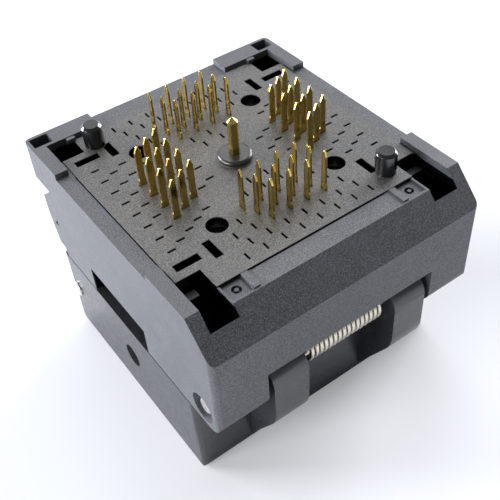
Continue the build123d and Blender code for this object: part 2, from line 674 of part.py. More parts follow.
def gate_nub_and_wall():
    """Small nub left in that mark, and the small wall that stands beside the recess."""
    floor = RIM_Z - GATE_DEPTH
    half = GATE_SIZE / 2
    nub = rod_z(GATE_X, GATE_Y, floor - GATE_MARK_DEPTH, floor, GATE_NUB_RADIUS)
    x1 = GATE_X - half
    wall = block(x1 - SMALL_WALL_WIDTH, x1, GATE_Y - half, -PLATE_NEAR - PLATE_GAP, floor, FACE_Z)
    return nub + wall


def base_housing():
    """Moulded block that everything is built into."""
    outer = base_side_profile()
    base = outer & plan_outline(REAR_Y, FAR_Y)
    base -= base_rims()
    base -= block(-CAVITY_HALF_X, CAVITY_HALF_X, -CAVITY_NEAR, CAVITY_FAR, SPLIT_Z, FLOOR_LOW_Z)
    ledge_z = BLOCK_LOW_Z + BLOCK_FOOT_HEIGHT
    hole_half = BLOCK_ARM_HALF_WIDTH + BLOCK_GAP
    base -= plus_outline(BLOCK_REACH + BLOCK_GAP, hole_half, ledge_z, PLATE_LOW_Z)
    foot_reach = BLOCK_REACH - BLOCK_FOOT_STEP + BLOCK_GAP
    base -= plus_outline(foot_reach, hole_half - BLOCK_FOOT_STEP, SPLIT_Z, ledge_z)
    base -= plate_recess()
    window = WINDOW_LENGTH / 2
    base -= block(-SIDE_X, SIDE_X, -window, window, SPLIT_Z, SPLIT_Z + WINDOW_HEIGHT)
    opening_top = SPLIT_Z + HINGE_OPENING_HEIGHT
    half = HINGE_OPENING_HALF_WIDTH
    base -= block(-half, half, REAR_Y, HINGE_OPENING_Y, SPLIT_Z, opening_top)
    base -= both_sides(base_near_corner()) + both_sides(base_far_corner())
    base -= both_sides(gate_recess())
    base += both_sides(gate_nub_and_wall() & outer)
    base += both_sides(base_far_hook()) + both_sides(base_near_post())
    base -= rod_x(HINGE_Y, HINGE_Z, -SIDE_X, SIDE_X, HINGE_PIN_RADIUS + PRESS_GAP)
    counterbore_x = SIDE_X - PIN_COUNTERBORE_DEPTH
    base -= both_sides(rod_x(HINGE_Y, HINGE_Z, counterbore_x, SIDE_X, PIN_COUNTERBORE_RADIUS))
    for x, y in corner_places(ROUND_HOLE_PLACE, ROUND_HOLE_PLACE, ROUND_HOLE_PLACE):
        base -= rod_z(x, y, FLOOR_LOW_Z, PLATE_LOW_Z, NEST_PIN_RADIUS + PRESS_GAP)
    leg_hole = Cylinder(SPRING_WIRE / 2 + RUNNING_GAP, SPRING_LEG_LENGTH, align=STANDING)
    base -= spring_frame(SPRING_COIL_LENGTH / 2) * SPRING_LEG_LINE * leg_hole
    return base


def hinge_pin():
    """Steel pin through the ears of the base and the arms of the lid."""
    reach = SIDE_X - HINGE_PIN_RECESS
    pin = rod_x(HINGE_Y, HINGE_Z, -reach, reach, HINGE_PIN_RADIUS)
    ends = pin.edges().group_by(Axis.X)
    return fillet(ends[0] + ends[-1], PIN_DOME)


def hinge_spring():
    """Close coil round the hinge pin: its left end enters a lid arm, its right leg the base."""
    wire = SPRING_WIRE / 2
    path = Helix(pitch=SPRING_PITCH, height=SPRING_COIL_LENGTH, radius=SPRING_RADIUS, lefthand=True)
    section = Plane(origin=path @ 0, z_dir=path % 0) * Circle(wire)
    spring = sweep(section, path=path)
    bend = Sphere(SPRING_WIRE * SPRING_BEND)
    tang_reach = ARM_INNER_X - SPRING_COIL_LENGTH / 2 + SPRING_TANG
    tang = Pos(SPRING_RADIUS, 0, -tang_reach) * Cylinder(wire, tang_reach, align=STANDING)
    spring += Pos(SPRING_RADIUS, 0, 0) * bend
    spring += Pos(SPRING_RADIUS, 0, SPRING_COIL_LENGTH) * bend
    spring += tang
    leg = Cylinder(wire, SPRING_LEG_LENGTH - wire, align=STANDING)
    spring += Pos(0, 0, SPRING_COIL_LENGTH) * SPRING_LEG_LINE * leg
    return spring_frame(-SPRING_COIL_LENGTH / 2) * spring


def nest():
    """Floating guide: takes the device from the lid side, its corners on four small ledges."""
    half_x = CAVITY_HALF_X - MOVING_GAP
    near = CAVITY_NEAR - MOVING_GAP
    body = block(-half_x, half_x, -near, CAVITY_FAR - MOVING_GAP, NEST_LOW_Z, NEST_HIGH_Z)
    half = DEVICE_SIZE / 2 + DEVICE_GAP
    ledge_z = NEST_HIGH_Z - LEDGE_THICKNESS
    body -= block(-half, half, -half, half, NEST_LOW_Z, ledge_z)
    inner = half - LEDGE_SIZE
    body -= block(-inner, inner, -half, half, ledge_z, NEST_HIGH_Z)
    body -= block(-half, half, -inner, inner, ledge_z, NEST_HIGH_Z)
    window = CONTACTS_HALF_WIDTH - CONTACT_WINDOW_INSET
    reach = TIP_DISTANCE + CONTACT_WINDOW_BEYOND_TIP
    body -= block(-reach, reach, -window, window, ledge_z, NEST_HIGH_Z)
    body -= block(-window, window, -reach, reach, ledge_z, NEST_HIGH_Z)
    wide = half + NEST_LEAD_IN
    mouth = Pos(0, 0, NEST_LOW_Z) * Rectangle(2 * wide, 2 * wide)
    throat = Pos(0, 0, NEST_LOW_Z + NEST_LEAD_IN) * Rectangle(2 * half, 2 * half)
    body -= loft([mouth.face(), throat.face()])
    for x, y in corner_places(ROUND_HOLE_PLACE, ROUND_HOLE_PLACE, ROUND_HOLE_PLACE):
        head_z = NEST_LOW_Z + NEST_PIN_HEAD
        body -= rod_z(x, y, NEST_LOW_Z, head_z, NEST_PIN_HEAD_RADIUS + MOVING_GAP)
        body -= rod_z(x, y, head_z, NEST_HIGH_Z, NEST_PIN_RADIUS + NEST_HOLE_GAP)
        spring_low = NEST_HIGH_Z - NEST_SPRING_POCKET
        body -= rod_z(x, y, spring_low, NEST_HIGH_Z, NEST_PIN_HEAD_RADIUS + MOVING_GAP)
    return body


def nest_pins():
    """Headed pins pressed into the base floor, which the nest slides on."""
    pins = []
    for x, y in corner_places(ROUND_HOLE_PLACE, ROUND_HOLE_PLACE, ROUND_HOLE_PLACE):
        head = rod_z(x, y, NEST_LOW_Z, NEST_LOW_Z + NEST_PIN_HEAD, NEST_PIN_HEAD_RADIUS)
        shank = rod_z(x, y, NEST_LOW_Z + NEST_PIN_HEAD, PLATE_LOW_Z - NEST_PIN_BELOW_PLATE, NEST_PIN_RADIUS)
        pins.append(head + shank)
    return Compound(pins)


def nest_springs():
    """Springs round the guide pins, between the nest and the base floor."""
    low = NEST_HIGH_Z - NEST_SPRING_POCKET
    radius = NEST_PIN_RADIUS + NEST_SPRING_WIRE
    spring = coil(radius, NEST_SPRING_WIRE, NEST_SPRING_TURNS, FLOOR_LOW_Z - low)
    places = corner_places(ROUND_HOLE_PLACE, ROUND_HOLE_PLACE, ROUND_HOLE_PLACE)
    return spring_set(spring, [Pos(x, y, low) for x, y in places])


def lid_arm():
    """Right hinge arm: round knuckle, flat rear face and a slanted web down to the lid's outer face."""
    neck_y = HINGE_Y + KNUCKLE_RADIUS
    inside_y = LID_REAR_Y + LID_REAR_RADIUS + ARM_ROOT_MARGIN
    points = [
        (REAR_Y, HINGE_Z),
        (REAR_Y, HINGE_Z - ARM_FACE_DROP),
        (LID_REAR_Y, ARM_FOOT_Z),
        (inside_y, ARM_FOOT_Z),
        (inside_y, LID_DEPTH - ARM_ROOT_MARGIN),
        (neck_y, LID_DEPTH),
        (neck_y, HINGE_Z),
    ]
    web = prism_x(points, ARM_INNER_X, ARM_OUTER_X, [0, ARM_KNEE_RADIUS, 0, 0, 0, 0, 0])
    return web + rod_x(HINGE_Y, HINGE_Z, ARM_INNER_X, ARM_OUTER_X, KNUCKLE_RADIUS)


def lid_shell():
    """Outer form of the lid: a block with rounded outer edges."""
    points = [(LID_REAR_Y, 0), (LID_REAR_Y, LID_DEPTH), (LID_FRONT_Y, LID_DEPTH), (LID_FRONT_Y, 0)]
    radii = [LID_REAR_RADIUS, 0, 0, LID_FRONT_RADIUS]
    shell = prism_x(points, -SIDE_X, SIDE_X, radii)
    shell &= plan_outline(LID_REAR_Y, LID_FRONT_Y)
    edges = FilletPolyline(
        (-SIDE_X, LID_REAR_Y, 0),
        (-SIDE_X, LID_REAR_Y, BIG),
        (SIDE_X, LID_REAR_Y, BIG),
        (SIDE_X, LID_REAR_Y, 0),
        radius=[LID_SIDE_RADIUS, 0, 0, LID_SIDE_RADIUS],
        close=True,
    )
    front_view = extrude(make_face(edges), amount=BODY_LENGTH, dir=(0, 1, 0))
    return shell & front_view


def lid_frame():
    """Lid: pressure pad well, lever slot, side bores and two hinge arms."""
    lid = lid_shell() + both_sides(lid_arm())
    half_x = LID_CAVITY_HALF_X
    lid -= block(-half_x, half_x, -LID_CAVITY_NEAR, LID_CAVITY_FAR, LID_FLOOR, LID_DEPTH)
    lever_half = LEVER_POCKET_HALF_X
    lid -= block(-lever_half, lever_half, LEVER_POCKET_Y, LID_FRONT_Y, LEVER_POCKET_FLOOR, LID_DEPTH)
    lid -= rod_x(HINGE_Y, HINGE_Z, -SIDE_X, SIDE_X, HINGE_PIN_RADIUS + RUNNING_GAP)
    lid -= rod_x(LATCH_PIN_Y, LATCH_PIN_Z, -SIDE_X, SIDE_X, LATCH_PIN_RADIUS + PRESS_GAP)
    lid -= rod_x(CROSS_PIN_Y, CROSS_PIN_Z, -SIDE_X, SIDE_X, CROSS_PIN_RADIUS + PRESS_GAP)
    for x, y in pad_spring_places():
        lid -= rod_z(x, y, LID_FLOOR - PAD_SPRING_SEAT, LID_FLOOR, PAD_SPRING_RADIUS + PAD_SPRING_WIRE)
    hole = LATCH_SPRING_RADIUS + LATCH_SPRING_WIRE
    spring_hole = rod_y(LATCH_SPRING_X, LATCH_SPRING_Z, LATCH_SPRING_START_Y, LEVER_POCKET_Y, hole)
    lid -= both_sides(spring_hole)
    tang_hole = Cylinder(SPRING_WIRE / 2 + PRESS_GAP, SPRING_TANG, align=STANDING)
    lid -= spring_frame(-ARM_INNER_X - SPRING_TANG) * Pos(SPRING_RADIUS, 0, 0) * tang_hole
    return lid


def pressure_pad():
    """Floating pad: wide body behind, square nose that presses on the device."""
    half_x = LID_CAVITY_HALF_X - PAD_SIDE_GAP
    near = -LID_CAVITY_NEAR + PAD_SIDE_GAP
    far = LID_CAVITY_FAR - PAD_SIDE_GAP
    pad = block(-half_x, half_x, near, far, PAD_BOTTOM, PAD_TOP)
    pad += block(-NOSE_HALF, NOSE_HALF, -NOSE_HALF, NOSE_HALF, PAD_TOP, NOSE_TOP_Z)
    slot_near = CROSS_PIN_Y - CROSS_PIN_RADIUS - RUNNING_GAP
    slot_far = CROSS_PIN_Y + CROSS_PIN_RADIUS + RUNNING_GAP
    slot_low = CROSS_PIN_Z - CROSS_PIN_RADIUS - PRESS_GAP
    slot_high = CROSS_PIN_Z + CROSS_PIN_RADIUS + PAD_TRAVEL + RUNNING_GAP
    pad -= block(-half_x, half_x, slot_near, slot_far, slot_low, slot_high)
    for x, y in pad_spring_places():
        pocket = PAD_SPRING_RADIUS + PAD_SPRING_WIRE
        pad -= rod_z(x, y, PAD_BOTTOM, PAD_BOTTOM + PAD_SPRING_POCKET, pocket)
    return pad


def pad_pin():
    """Cross pin that keeps the pad in the lid, set back in its side bores."""
    reach = SIDE_X - CROSS_PIN_RECESS
    return rod_x(CROSS_PIN_Y, CROSS_PIN_Z, -reach, reach, CROSS_PIN_RADIUS)


def pad_springs():
    """Springs between the lid floor and the pad."""
    low = LID_FLOOR - PAD_SPRING_SEAT
    length = PAD_BOTTOM + PAD_SPRING_POCKET - low
    spring = coil(PAD_SPRING_RADIUS, PAD_SPRING_WIRE, PAD_SPRING_TURNS, length)
    return spring_set(spring, [Pos(x, y, low) for x, y in pad_spring_places()])


def latch_lever():
    """Lever with a wide hooked bar above and a ribbed thumb end below."""
    lip_y = NECK_Y + LEVER_INNER_GAP
    lip_low = CATCH_TOP_Z + HOOK_LIP_PLAY
    lip_high = FACE_Z - FLANGE_THICKNESS - HOOK_BELOW_FLANGE - HOOK_CROWN
    outer_y = LEVER_INNER_Y + LEVER_THICKNESS
    bar = [
        (LEVER_INNER_Y, LEVER_BAR_Z),
        (LEVER_INNER_Y, lip_low),
        (lip_y, lip_low),
        (lip_y, lip_high),
        (LEVER_INNER_Y, lip_high + HOOK_CROWN),
        (outer_y, lip_high),
        (outer_y, lip_low),
        (outer_y - LEVER_TAPER, LEVER_BAR_Z),
    ]
    lever = prism_x(bar, -LEVER_BAR_HALF_X, LEVER_BAR_HALF_X)
    shank_outer = LATCH_PIN_Y + SHANK_OUTER_FROM_PIN
    shank = [
        (SHANK_INNER_Y, SHANK_FOOT_Z),
        (SHANK_INNER_Y, LATCH_PIN_Z + SHANK_INNER_FROM_PIN),
        (LEVER_INNER_Y, LEVER_BAR_Z + LEVER_BAR_CLEARANCE),
        (outer_y - LEVER_TAPER, LEVER_BAR_Z + LEVER_BAR_CLEARANCE),
        (shank_outer, LATCH_PIN_Z + SHANK_INNER_FROM_PIN),
        (shank_outer, SHANK_FOOT_Z),
    ]
    lever += prism_x(shank, -LEVER_SHANK_HALF_X, LEVER_SHANK_HALF_X)
    for rib in range(GRIP_RIBS):
        z = SHANK_FOOT_Z + GRIP_RIB_PITCH * (rib + 0.5)
        lever += rod_x(shank_outer, z, -GRIP_RIB_HALF_X, GRIP_RIB_HALF_X, GRIP_RIB_RADIUS)
    lever -= rod_x(LATCH_PIN_Y, LATCH_PIN_Z, -SIDE_X, SIDE_X, LATCH_PIN_RADIUS + RUNNING_GAP)
    seat_radius = LATCH_SPRING_RADIUS + LATCH_SPRING_WIRE
    seat_y = SHANK_INNER_Y + LATCH_SPRING_SEAT
    lever -= both_sides(rod_y(LATCH_SPRING_X, LATCH_SPRING_Z, SHANK_INNER_Y, seat_y, seat_radius))
    return lever


def latch_pin():
    """Steel pin with domed ends that the lever turns on."""
    reach = SIDE_X + LATCH_PIN_PROUD
    pin = rod_x(LATCH_PIN_Y, LATCH_PIN_Z, -reach, reach, LATCH_PIN_RADIUS)
    ends = pin.edges().group_by(Axis.X)
    return fillet(ends[0] + ends[-1], PIN_DOME)


def latch_springs():
    """Springs in the lid that push the lever's thumb end out."""
    length = SHANK_INNER_Y + LATCH_SPRING_SEAT - LATCH_SPRING_START_Y
    spring = coil(LATCH_SPRING_RADIUS, LATCH_SPRING_WIRE, LATCH_SPRING_TURNS, length)
    lying = Rot(-90, 0, 0) * spring
    places = [Pos(side * LATCH_SPRING_X, LATCH_SPRING_START_Y, LATCH_SPRING_Z) for side in (-1, 1)]
    return spring_set(lying, places)


def write(name, shape):
    """Put a piece on the final origin and write it."""
    export_step(PLACE * shape, f"parts/{name}.step")


os.makedirs("parts", exist_ok=True)
write("base_housing", base_housing())
write("contact_plate", contact_plate())
write("contact_block", contact_block())
SIDE_NAMES = ["right", "latch", "left", "hinge"]
for turns, side_name in enumerate(SIDE_NAMES):
    write(f"contacts_{side_name}_side", contact_side(turns))
write("probe_barrel", probe_barrel())
write("probe_plunger", probe_plunger())
write("probe_spring", probe_spring())
write("hinge_pin", hinge_pin())
write("hinge_spring", hinge_spring())
write("nest", nest())
write("nest_pins", nest_pins())
write("nest_springs", nest_springs())
write("lid_frame", lid_frame())
write("pressure_pad", pressure_pad())
write("pad_pin", pad_pin())
write("pad_springs", pad_springs())
write("latch_lever", latch_lever())
write("latch_pin", latch_pin())
write("latch_springs", latch_springs())
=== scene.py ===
# %% [markdown]
# A chip test socket, lying on its lid.
# The real thing is a black moulded block of about 23 by 25 by 21 mm. A square chip without legs goes in
# under the hinged lid, and forty eight gold tails and one ground pin carry its signals to a circuit board.
# The CAD model gives every size and every joint. This notebook only dresses it: first the camera, the floor
# and the light, then the finishes, and last the springs that shorten when a joint moves.

# %% Load the CAD frame
from math import radians

import bpy
from mathutils import Matrix, Vector


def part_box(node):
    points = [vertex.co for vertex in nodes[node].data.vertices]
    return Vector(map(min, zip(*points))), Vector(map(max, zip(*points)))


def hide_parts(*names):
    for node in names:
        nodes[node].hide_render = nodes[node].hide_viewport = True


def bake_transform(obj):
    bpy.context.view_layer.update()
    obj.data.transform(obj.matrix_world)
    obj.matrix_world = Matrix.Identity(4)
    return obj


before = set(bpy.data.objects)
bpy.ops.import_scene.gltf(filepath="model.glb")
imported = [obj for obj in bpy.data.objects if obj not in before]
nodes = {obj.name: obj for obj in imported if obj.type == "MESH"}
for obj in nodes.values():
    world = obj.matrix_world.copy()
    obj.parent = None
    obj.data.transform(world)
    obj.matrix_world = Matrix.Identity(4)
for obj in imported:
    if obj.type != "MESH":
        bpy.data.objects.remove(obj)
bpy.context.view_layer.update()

MM = 0.001

# %% [markdown]
# The camera stands where the photographer stood: in front of the hinge side, to its left, looking down at
# about 45 degrees from 75 mm away. Its place and focal length come from a fit to the regular grid of tail
# slots, so they are written as plain measurements. A lens this close gives the strong perspective that makes
# the near corner look large, which a distant camera with a longer lens would lose.

# %% Camera
CAMERA_PLACE_MM = (-24.70, -38.295, 54.53)
NEAREST_SEEN_MM = 2
FARTHEST_SEEN = 5
HEADING = 32.91
LOOK_DOWN = 44.83
ROLL = -4.48
FOCAL_LENGTH_PIXELS = 804.7
PICTURE_PIXELS = 500
SENSOR_MM = 36

lens_data = bpy.data.cameras.new("camera")
lens_data.sensor_width = SENSOR_MM
lens_data.lens = FOCAL_LENGTH_PIXELS * SENSOR_MM / PICTURE_PIXELS
lens_data.clip_start = NEAREST_SEEN_MM * MM
lens_data.clip_end = FARTHEST_SEEN
camera = bpy.data.objects.new("camera", lens_data)
turn = (
    Matrix.Rotation(radians(-HEADING), 4, "Z")
    @ Matrix.Rotation(radians(90 - LOOK_DOWN), 4, "X")
    @ Matrix.Rotation(radians(ROLL), 4, "Z")
)
camera.matrix_world = Matrix.Translation(Vector(CAMERA_PLACE_MM) * MM) @ turn
bpy.context.scene.collection.objects.link(camera)
bpy.context.scene.camera = camera
print("lens in mm:", round(lens_data.lens, 2))

# %% [markdown]
# Two small helpers serve every finish below. Colours are written as the hex codes that a paint chart or a
# picture editor shows, and one function turns them into the linear light that a renderer works in. The other
# adds a node to a material, sets its inputs and links what comes from other nodes.

# %% Helpers for finishes


def linear(code):
    """Hex colour, as on a screen, to linear red, green, blue and full opacity."""
    shares = [int(code[i : i + 2], 16) / 255 for i in (1, 3, 5)]
    return [s / 12.92 if s <= 0.04045 else ((s + 0.055) / 1.055) ** 2.4 for s in shares] + [1.0]


def add_node(tree, kind, inputs=None, **settings):
    """Add a node. inputs gives values or other nodes' outputs by socket name or number."""
    made = tree.nodes.new(kind)
    for name, value in settings.items():
        setattr(made, name, value)
    for name, value in (inputs or {}).items():
        if isinstance(value, bpy.types.NodeSocket):
            tree.links.new(value, made.inputs[name])
        else:
            made.inputs[name].default_value = value
    return made


def new_material(name):
    """Empty material and its node tree."""
    material = bpy.data.materials.new(name)
    material.use_nodes = True
    material.node_tree.nodes.clear()
    return material, material.node_tree


def show(tree, shader):
    """Connect a shader to the material's output."""
    output = tree.nodes.new("ShaderNodeOutputMaterial")
    tree.links.new(shader.outputs[0], output.inputs["Surface"])


def per_cell(size_mm):
    """Texture scale at which one noise cell is about that many millimetres wide."""
    return 1 / (size_mm * MM)


print("white is", linear("#ffffff")[:3])

# %% [markdown]
# The socket was photographed on a white sheet in a bright room. The brightest window is behind the socket and
# low on its left, so the left side is the palest, and a second one on the right lights the sheet there. A
# white wall and the ceiling fill in from behind and above, and the side of the room where the photographer
# stands is dark, which keeps the hinge side and the sloped edge deep grey. Five large soft lamps stand for
# these. Their powers were found by rendering each lamp alone and fitting the sum, and then trimmed.
# Small hard lamps would give black shadows that the photograph doesn't have. The sheet glows a little for
# the camera only, so it reads as white and still keeps the soft shadow of the block.

# %% Floor, sky and window light
FLOOR_HALF = 1.5
FLOOR_DROP_MM = 0.02
FLOOR_WHITE = "#f1f2f4"
FLOOR_GLOW = 0.30
SKY_STRENGTH = 0.06
SKY_TINT = "#f6f8ff"
ROOM_MIRRORED = 0.30
LAMPS_AIM_MM = (0, 0, 10)
DAYLIGHT = "#f7f9ff"
LAMPS = {
    "window_behind": ((-0.75, 0.90, 0.15), 0.6, 46.0),
    "window_left": ((-1.12, 0.06, 0.26), 0.6, 23.0),
    "window_right": ((1.20, 0.24, 0.35), 0.8, 36.5),
    "white_wall": ((0.20, 1.10, 0.60), 1.4, 6.5),
    "ceiling": ((0.35, 0.55, 1.10), 0.7, 7.0),
}

floor_mesh = bpy.data.meshes.new("floor")
corners = [(-1, -1), (1, -1), (1, 1), (-1, 1)]
sheet_points = [(x * FLOOR_HALF, y * FLOOR_HALF, -FLOOR_DROP_MM * MM) for x, y in corners]
floor_mesh.from_pydata(sheet_points, [], [(0, 1, 2, 3)])
floor = bpy.data.objects.new("floor", floor_mesh)
bpy.context.scene.collection.objects.link(floor)
paper, tree = new_material("white_paper_sheet")
ray = add_node(tree, "ShaderNodeLightPath").outputs
seen = ray["Is Camera Ray"]
glow_share = add_node(tree, "ShaderNodeMath", {0: seen, 1: FLOOR_GLOW}, operation="MULTIPLY")
sheet = add_node(tree, "ShaderNodeBsdfDiffuse", {"Color": linear(FLOOR_WHITE), "Roughness": 0.3})
glow = add_node(tree, "ShaderNodeEmission", {"Color": linear(FLOOR_WHITE), "Strength": 1.0})
skin = {0: glow_share.outputs[0], 1: sheet.outputs[0], 2: glow.outputs[0]}
paper_skin = add_node(tree, "ShaderNodeMixShader", skin)
show(tree, paper_skin)
floor_mesh.materials.append(paper)

sky = bpy.data.worlds.new("sky")
sky.use_nodes = True
tree = sky.node_tree
tree.nodes.clear()
ray = add_node(tree, "ShaderNodeLightPath").outputs
room = add_node(tree, "ShaderNodeBackground", {"Color": linear(SKY_TINT), "Strength": SKY_STRENGTH})
walls = add_node(tree, "ShaderNodeBackground", {"Color": linear("#ffffff"), "Strength": ROOM_MIRRORED})
white = add_node(tree, "ShaderNodeBackground", {"Color": linear("#ffffff"), "Strength": 1.0})
mirrored = {0: ray["Is Glossy Ray"], 1: room.outputs[0], 2: walls.outputs[0]}
mixed = add_node(tree, "ShaderNodeMixShader", mirrored)
backdrop = {0: ray["Is Camera Ray"], 1: mixed.outputs[0], 2: white.outputs[0]}
mixed = add_node(tree, "ShaderNodeMixShader", backdrop)
add_node(tree, "ShaderNodeOutputWorld", {"Surface": mixed.outputs[0]})
bpy.context.scene.world = sky
bpy.context.scene.view_settings.view_transform = "Standard"


def soft_lamp(name, place, size, power):
    """Square soft lamp that faces the middle of the socket."""
    data = bpy.data.lights.new(name, "AREA")
    data.shape = "SQUARE"
    data.size = size
    data.energy = power
    data.color = linear(DAYLIGHT)[:3]
    lamp = bpy.data.objects.new(name, data)
    aim = Vector(LAMPS_AIM_MM) * MM - Vector(place)
    lamp.matrix_world = Matrix.Translation(place) @ aim.to_track_quat("-Z", "Y").to_matrix().to_4x4()
    bpy.context.scene.collection.objects.link(lamp)
    return lamp


for name, (place, size, power) in LAMPS.items():
    soft_lamp(name, place, size, power)
print("lamps:", {name: values[2] for name, values in LAMPS.items()})

# %% [markdown]
# Test sockets are moulded in black glass filled plastic, such as PPS, because it keeps its size in an oven.
# The mould is spark eroded, so the surface is a fine matt grain, and short glass fibres near the skin leave
# pale specks and cloudy flow marks. That is why this black plastic reads as a speckled dark grey. One
# function makes the mould's finish in several shades: noises scaled from real sizes colour it, and the
# finest one also roughens the skin with a slight bump. The real grit is about 0.05 mm, too fine to show from
# this camera, so it is drawn a little coarser.
# The inner walls of pockets, slots and side windows are formed by polished cores, without grain. They reflect
# only the dark inside, and their colour is painted near black as painted shade, since little light gets in.
# The locating pegs are smooth, and their colour is painted darker than the plate as painted shade on their
# sides. The collar round the ground pin is smooth and darker than the plate too. Each such place is a box in
# the moulding, given by two corners in millimetres.

# %% Glass filled moulding
FLOW_MARK_MM = 2.6
FIBRE_PATCH_MM = 0.40
SPECK_MM = 0.075
GRAIN_HEIGHT_MM = 0.004
PLASTIC_IOR = 1.6
MATT_SPREAD = 0.06
CLOUD_SPAN = (0.72, 1.28)
FIBRE_SPAN = (0.42, 0.78)
NOISE_SPAN = (0.3, 0.7)


def span(noise, ends):
    """Inputs that read a noise between two ends."""
    return {"Value": noise.outputs[0], "From Min": ends[0], "From Max": ends[1]}


def noise_to_range(tree, noise, middle, spread):
    """Turn the usual span of a noise into a range about a middle value."""
    ends = {"To Min": middle - spread, "To Max": middle + spread}
    return add_node(tree, "ShaderNodeMapRange", {**span(noise, NOISE_SPAN), **ends})


def inside_box(tree, place, low, high):
    """1 inside a box between two corners in millimetres, mirrored in X, and 0 outside it."""
    axes = add_node(tree, "ShaderNodeSeparateXYZ", {"Vector": place}).outputs
    off_middle = add_node(tree, "ShaderNodeMath", {0: axes["X"]}, operation="ABSOLUTE")
    values = [off_middle.outputs[0], axes["Y"], axes["Z"]]
    mask = 1.0
    for value, start, end in zip(values, low, high):
        middle = (start + end) / 2 * MM
        half = (end - start) / 2 * MM
        within = add_node(tree, "ShaderNodeMath", {0: value, 1: middle, 2: half}, operation="COMPARE")
        both = add_node(tree, "ShaderNodeMath", {0: mask, 1: within.outputs[0]}, operation="MULTIPLY")
        mask = both.outputs[0]
    return mask


def moulded_pps(name, dark, pale, speck_hex, speck_share, roughness, patches=()):
    """Glass filled black plastic out of a spark eroded mould.

    Each patch is a box, a colour and a roughness, either for a part of the mould with a finish of its own or
    for painted shade inside pockets, slots and windows and on the pegs."""
    material, tree = new_material(name)
    place = add_node(tree, "ShaderNodeTexCoord").outputs["Object"]
    flow_look = {"Vector": place, "Scale": per_cell(FLOW_MARK_MM), "Detail": 3.0, "Distortion": 0.5}
    flow = add_node(tree, "ShaderNodeTexNoise", flow_look)
    patch_look = {"Vector": place, "Scale": per_cell(FIBRE_PATCH_MM), "Detail": 3.0}
    patch = add_node(tree, "ShaderNodeTexNoise", patch_look)
    speck_look = {"Vector": place, "Scale": per_cell(SPECK_MM), "Detail": 1.0}
    speck = add_node(tree, "ShaderNodeTexNoise", speck_look)
    cloud = add_node(tree, "ShaderNodeMath", {0: flow.outputs[0], 1: patch.outputs[0]}, operation="ADD")
    cloud = add_node(tree, "ShaderNodeMapRange", span(cloud, CLOUD_SPAN))
    skin_colours = {0: cloud.outputs[0], 6: linear(dark), 7: linear(pale)}
    skin = add_node(tree, "ShaderNodeMix", skin_colours, data_type="RGBA")
    fibre = add_node(tree, "ShaderNodeMapRange", {**span(speck, FIBRE_SPAN), "To Max": speck_share})
    fibre_colours = {0: fibre.outputs[0], 6: skin.outputs[2], 7: linear(speck_hex)}
    colour = add_node(tree, "ShaderNodeMix", fibre_colours, data_type="RGBA")
    matt = noise_to_range(tree, patch, roughness, MATT_SPREAD)
    colour = colour.outputs[2]
    matt = matt.outputs[0]
    # Some patches paint shade: a near-black colour in pockets, slots and windows, and a darker colour on the
    # pegs.
    for low, high, patch_hex, patch_roughness in patches:
        mask = inside_box(tree, place, low, high)
        colour = add_node(
            tree, "ShaderNodeMix", {0: mask, 6: colour, 7: linear(patch_hex)}, data_type="RGBA"
        ).outputs[2]
        matt = add_node(tree, "ShaderNodeMix", {0: mask, 2: matt, 3: patch_roughness}).outputs[0]
    grain = {"Height": speck.outputs[0], "Distance": GRAIN_HEIGHT_MM * MM, "Strength": 1.0}
    bump = add_node(tree, "ShaderNodeBump", grain)
    shader = add_node(
        tree,
        "ShaderNodeBsdfPrincipled",
        {"Base Color": colour, "Roughness": matt, "IOR": PLASTIC_IOR, "Normal": bump.outputs[0]},
    )
    show(tree, shader)
    return material


# Painted shade: a near-black colour inside the pockets, slots and side windows, where little light gets in.
POCKET_PAINTED_SHADE = "#060607"
CORE_ROUGH = 0.12
NEAR_POCKETS = ((8.2, -11.14, 11.0), (10.4, -6.9, 17.86), POCKET_PAINTED_SHADE, CORE_ROUGH)
FAR_POCKETS = ((8.2, 8.65, 11.0), (10.4, 10.76, 17.86), POCKET_PAINTED_SHADE, CORE_ROUGH)
SIDE_WINDOWS = ((0.0, -3.16, 8.2), (11.3, 4.91, 10.76), POCKET_PAINTED_SHADE, CORE_ROUGH)
NEAR_POST_TOPS = ((8.9, -9.0, 16.88), (10.4, -6.9, 17.05), "#202225", 0.55)
PLATE_SLOTS = ((0.0, -15.0, 16.0), (12.0, 15.0, 18.02), POCKET_PAINTED_SHADE, CORE_ROUGH)
COLLAR = ((0.0, -0.45, 18.2), (1.35, 2.2, 18.65), "#1b1b1c", 0.32)
# Painted shade: the pegs' colour is darker than the plate's and stands in for the shade on their sides.
PEGS_PAINTED_SHADE = ((5.0, -15.0, 18.14), (12.0, 15.0, 21.0), "#08090a", 0.17)
housing_pps = moulded_pps(
    "black_pps_moulding_matt",
    dark="#1d1e21",
    pale="#303236",
    speck_hex="#6c6f74",
    speck_share=0.75,
    roughness=0.52,
    patches=[NEAR_POCKETS, FAR_POCKETS, SIDE_WINDOWS, NEAR_POST_TOPS],
)
plate_pps = moulded_pps(
    "black_pps_plate_mottled",
    dark="#17181b",
    pale="#35322c",
    speck_hex="#74736f",
    speck_share=0.85,
    roughness=0.48,
    patches=[PLATE_SLOTS, COLLAR, PEGS_PAINTED_SHADE],
)
lever_pps = moulded_pps(
    "black_pps_moulding_satin",
    dark="#1a1b1d",
    pale="#222427",
    speck_hex="#3c3f44",
    speck_share=0.4,
    roughness=0.32,
)
inner_pps = moulded_pps(
    "black_pps_inner_matt",
    dark="#0c0d0e",
    pale="#131416",
    speck_hex="#222427",
    speck_share=0.3,
    roughness=0.6,
)
print("plastic finishes: 4")

# %% [markdown]
# The tails, the ground pin and its spring tip are copper alloy with a thin gold plate over nickel. Gold is a
# metal, so all its colour is in the reflection. Stamped strip keeps faint lines along its length, and the
# sheared edges are a little rougher, so a noise that is stretched along the tails varies the roughness.

# %% Gold plate, ground steel and spring wire
STAMP_LINE_MM = 0.09
STAMP_STRETCH = 0.12


